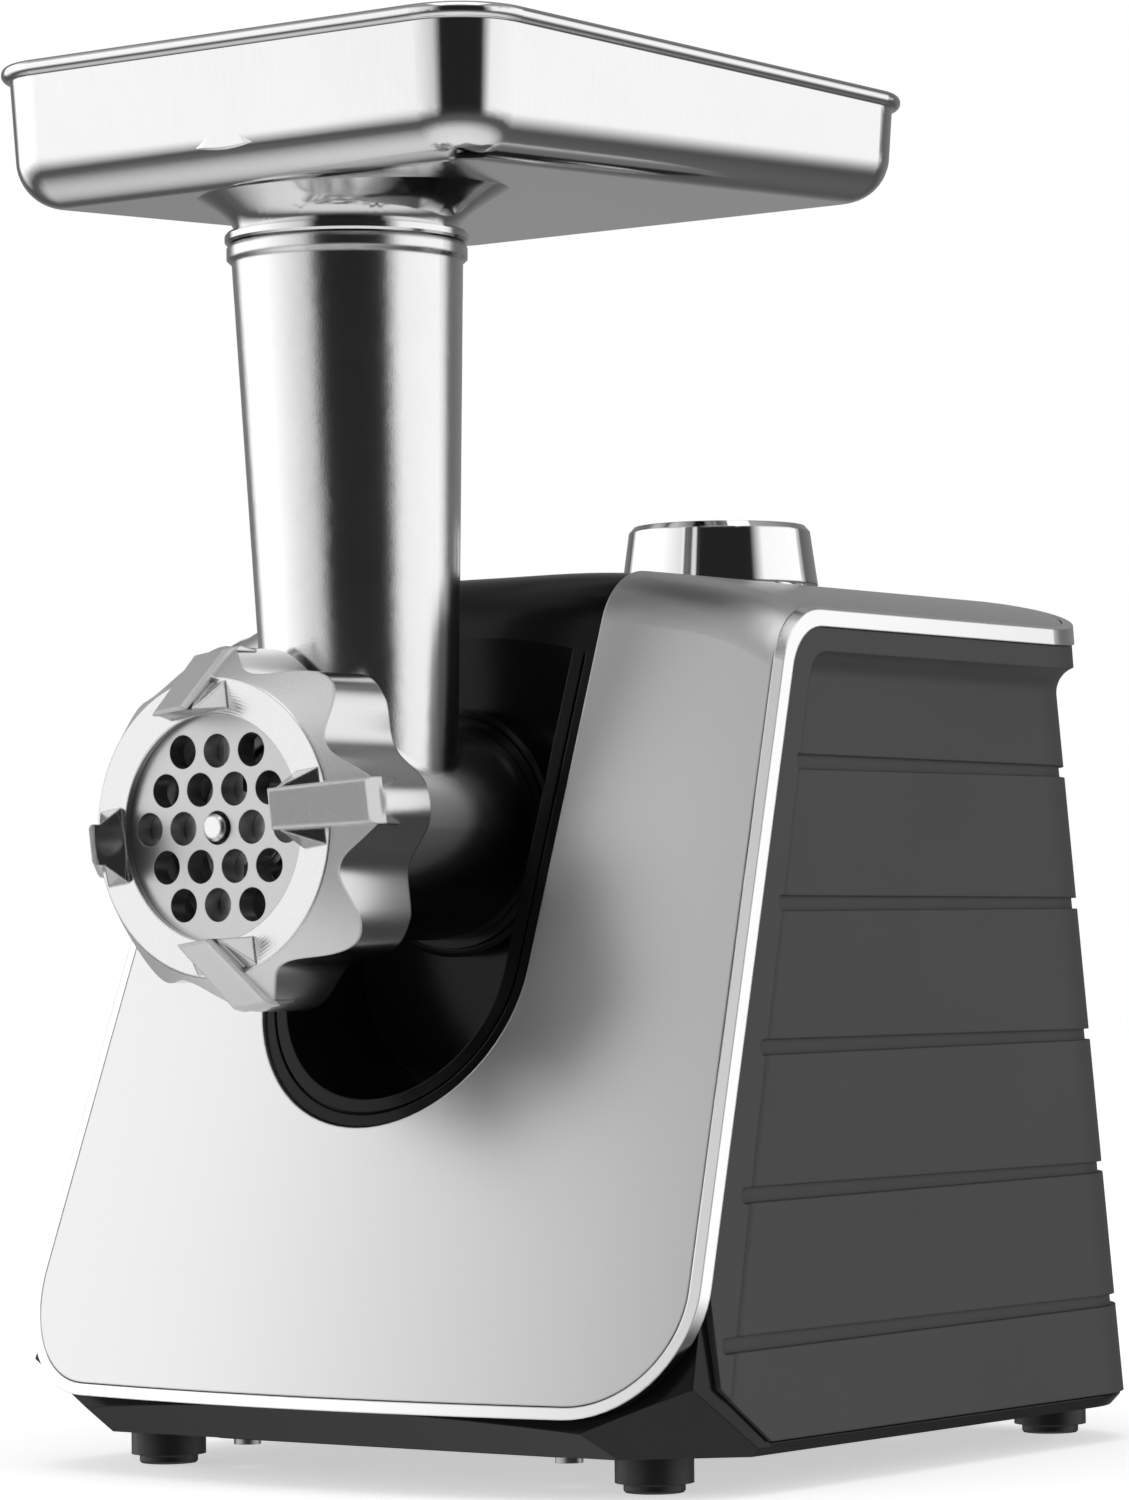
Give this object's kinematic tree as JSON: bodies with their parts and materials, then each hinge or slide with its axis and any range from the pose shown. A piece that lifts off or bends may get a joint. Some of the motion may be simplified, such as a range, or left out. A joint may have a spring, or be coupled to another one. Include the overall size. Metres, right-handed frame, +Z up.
{
  "type": "electric meat grinder",
  "caption": "Countertop electric meat grinder: wedge-shaped housing with a top knob, plug-in cast head with auger, plate and ring nut, and a lift-off feed tray.",
  "frame": {"origin": "middle of the bounding box at the level of the feet", "axes": "+Z up, -Y out of the cutting plate towards the user, +X to the right seen from the front"},
  "size_m": [0.2076, 0.283, 0.347],
  "materials": {
    "silver_paint": "satin",
    "bright_trim": "polished",
    "cover_plastic": "fine matt texture",
    "black_gloss": "glossy",
    "foot_rubber": "matt",
    "cast_aluminium": "satin cast",
    "polished_steel": "polished stainless sheet",
    "plate_steel": "ground",
    "knob_chrome": "mirror",
    "gear_steel": "machined",
    "gear_nylon": "natural nylon",
    "case_plastic": "moulded",
    "bush_bronze": "sintered",
    "screw_steel": "zinc plated",
    "laminations": "varnished laminations",
    "copper_wire": "enamelled wire",
    "carbon": "carbon",
    "board_green": "laminate",
    "board_bits": "moulded",
    "spring_steel": "drawn wire"
  },
  "bodies": {
    "housing": {"front_panel": "silver_paint", "trim_frame": "bright_trim", "side_cover_left": "cover_plastic", "side_cover_right": "cover_plastic", "rear_cover": "cover_plastic", "recess_liner": "black_gloss", "control_strip": "black_gloss", "base_tray": "black_gloss", "bottom_plate": "black_gloss", "bottom_screws": "screw_steel", "feet": "foot_rubber", "socket_collar": "black_gloss", "rotary_switch": "case_plastic", "switch_bracket": "case_plastic", "button_guide": "case_plastic", "gear_case": "case_plastic", "gear_cover": "case_plastic", "bushes": "bush_bronze", "case_screws": "screw_steel", "stator_core": "laminations", "field_coils": "copper_wire", "motor_bearings": "bush_bronze", "rear_bracket": "screw_steel", "front_bracket": "case_plastic", "brush_holders": "case_plastic", "brushes": "carbon", "motor_cradle": "case_plastic", "case_foot": "case_plastic", "cord_gland": "cover_plastic", "terminal_block": "gear_nylon", "control_board": "board_green", "board_parts": "board_bits", "board_posts": "case_plastic"},
    "knob": {"knob_cap": "knob_chrome", "switch_spindle": "case_plastic"},
    "button": {"release_button": "black_gloss", "button_spring": "spring_steel"},
    "head": {"head_body": "cast_aluminium", "rear_bush": "gear_nylon"},
    "tray": {"tray": "polished_steel"},
    "plate": {"cutting_plate": "plate_steel"},
    "nut": {"ring_nut": "cast_aluminium"},
    "auger": {"auger": "cast_aluminium", "knife": "plate_steel", "thrust_washer": "gear_nylon"},
    "output": {"output_gear": "gear_steel", "output_shaft": "gear_steel"},
    "middle": {"middle_gear": "gear_nylon", "output_pinion": "gear_steel", "middle_shaft": "gear_steel"},
    "first": {"first_gear": "gear_nylon", "middle_pinion": "gear_steel", "first_shaft": "gear_steel"},
    "motor": {"motor_pinion": "gear_steel", "motor_shaft": "gear_steel", "rotor_core": "laminations", "rotor_windings": "copper_wire", "commutator": "copper_wire", "fan": "case_plastic"}
  },
  "joints": [
    {"name": "knob_turn", "type": "hinge", "parent": "housing", "child": "knob", "pos_m": [0, 0.0827, 0.23], "axis": [0, 0, 1], "range_deg": [-45, 45]},
    {"name": "button_press", "type": "slide", "parent": "housing", "child": "button", "axis": [0, 1, 0], "range_m": [0, 0.003], "stiffness_N_per_m": 300, "springref_m": -0.002},
    {"name": "head_slide", "type": "slide", "parent": "housing", "child": "head", "axis": [0, -1, 0], "range_m": [0, 0.075]},
    {"name": "tray_lift", "type": "slide", "parent": "head", "child": "tray", "axis": [0, 0, 1], "range_m": [0, 0.06]},
    {"name": "nut_unscrew", "type": "hinge", "parent": "plate", "child": "nut", "pos_m": [0, -0.115, 0.158], "axis": [0, 1, 0], "range_deg": [0, 1080]},
    {"name": "plate_release", "type": "slide", "parent": "head", "child": "plate", "axis": [0, -1, 0], "range_m": [0, 0.009]},
    {"name": "auger_spin", "type": "hinge", "parent": "head", "child": "auger", "pos_m": [0, -0.06, 0.158], "axis": [0, 1, 0], "continuous": true},
    {"name": "motor_spin", "type": "hinge", "parent": "housing", "child": "motor", "pos_m": [0, 0.07, 0.06132], "axis": [0, 1, 0], "continuous": true},
    {"name": "first_spin", "type": "hinge", "parent": "housing", "child": "first", "pos_m": [-0.0075, 0.015, 0.09653], "axis": [0, 1, 0], "continuous": true},
    {"name": "middle_spin", "type": "hinge", "parent": "housing", "child": "middle", "pos_m": [0.0225, 0.015, 0.11903], "axis": [0, 1, 0], "continuous": true},
    {"name": "output_spin", "type": "hinge", "parent": "housing", "child": "output", "pos_m": [0, 0.01, 0.158], "axis": [0, 1, 0], "continuous": true}
  ],
  "couplings": [
    {"joint": "first_spin", "follows": "motor_spin", "ratio": -0.2},
    {"joint": "middle_spin", "follows": "motor_spin", "ratio": 0.05},
    {"joint": "output_spin", "follows": "motor_spin", "ratio": -0.0125},
    {"joint": "auger_spin", "follows": "motor_spin", "ratio": -0.0125},
    {"joint": "plate_release", "follows": "nut_unscrew", "m_per_rad": 0.00047746}
  ]
}
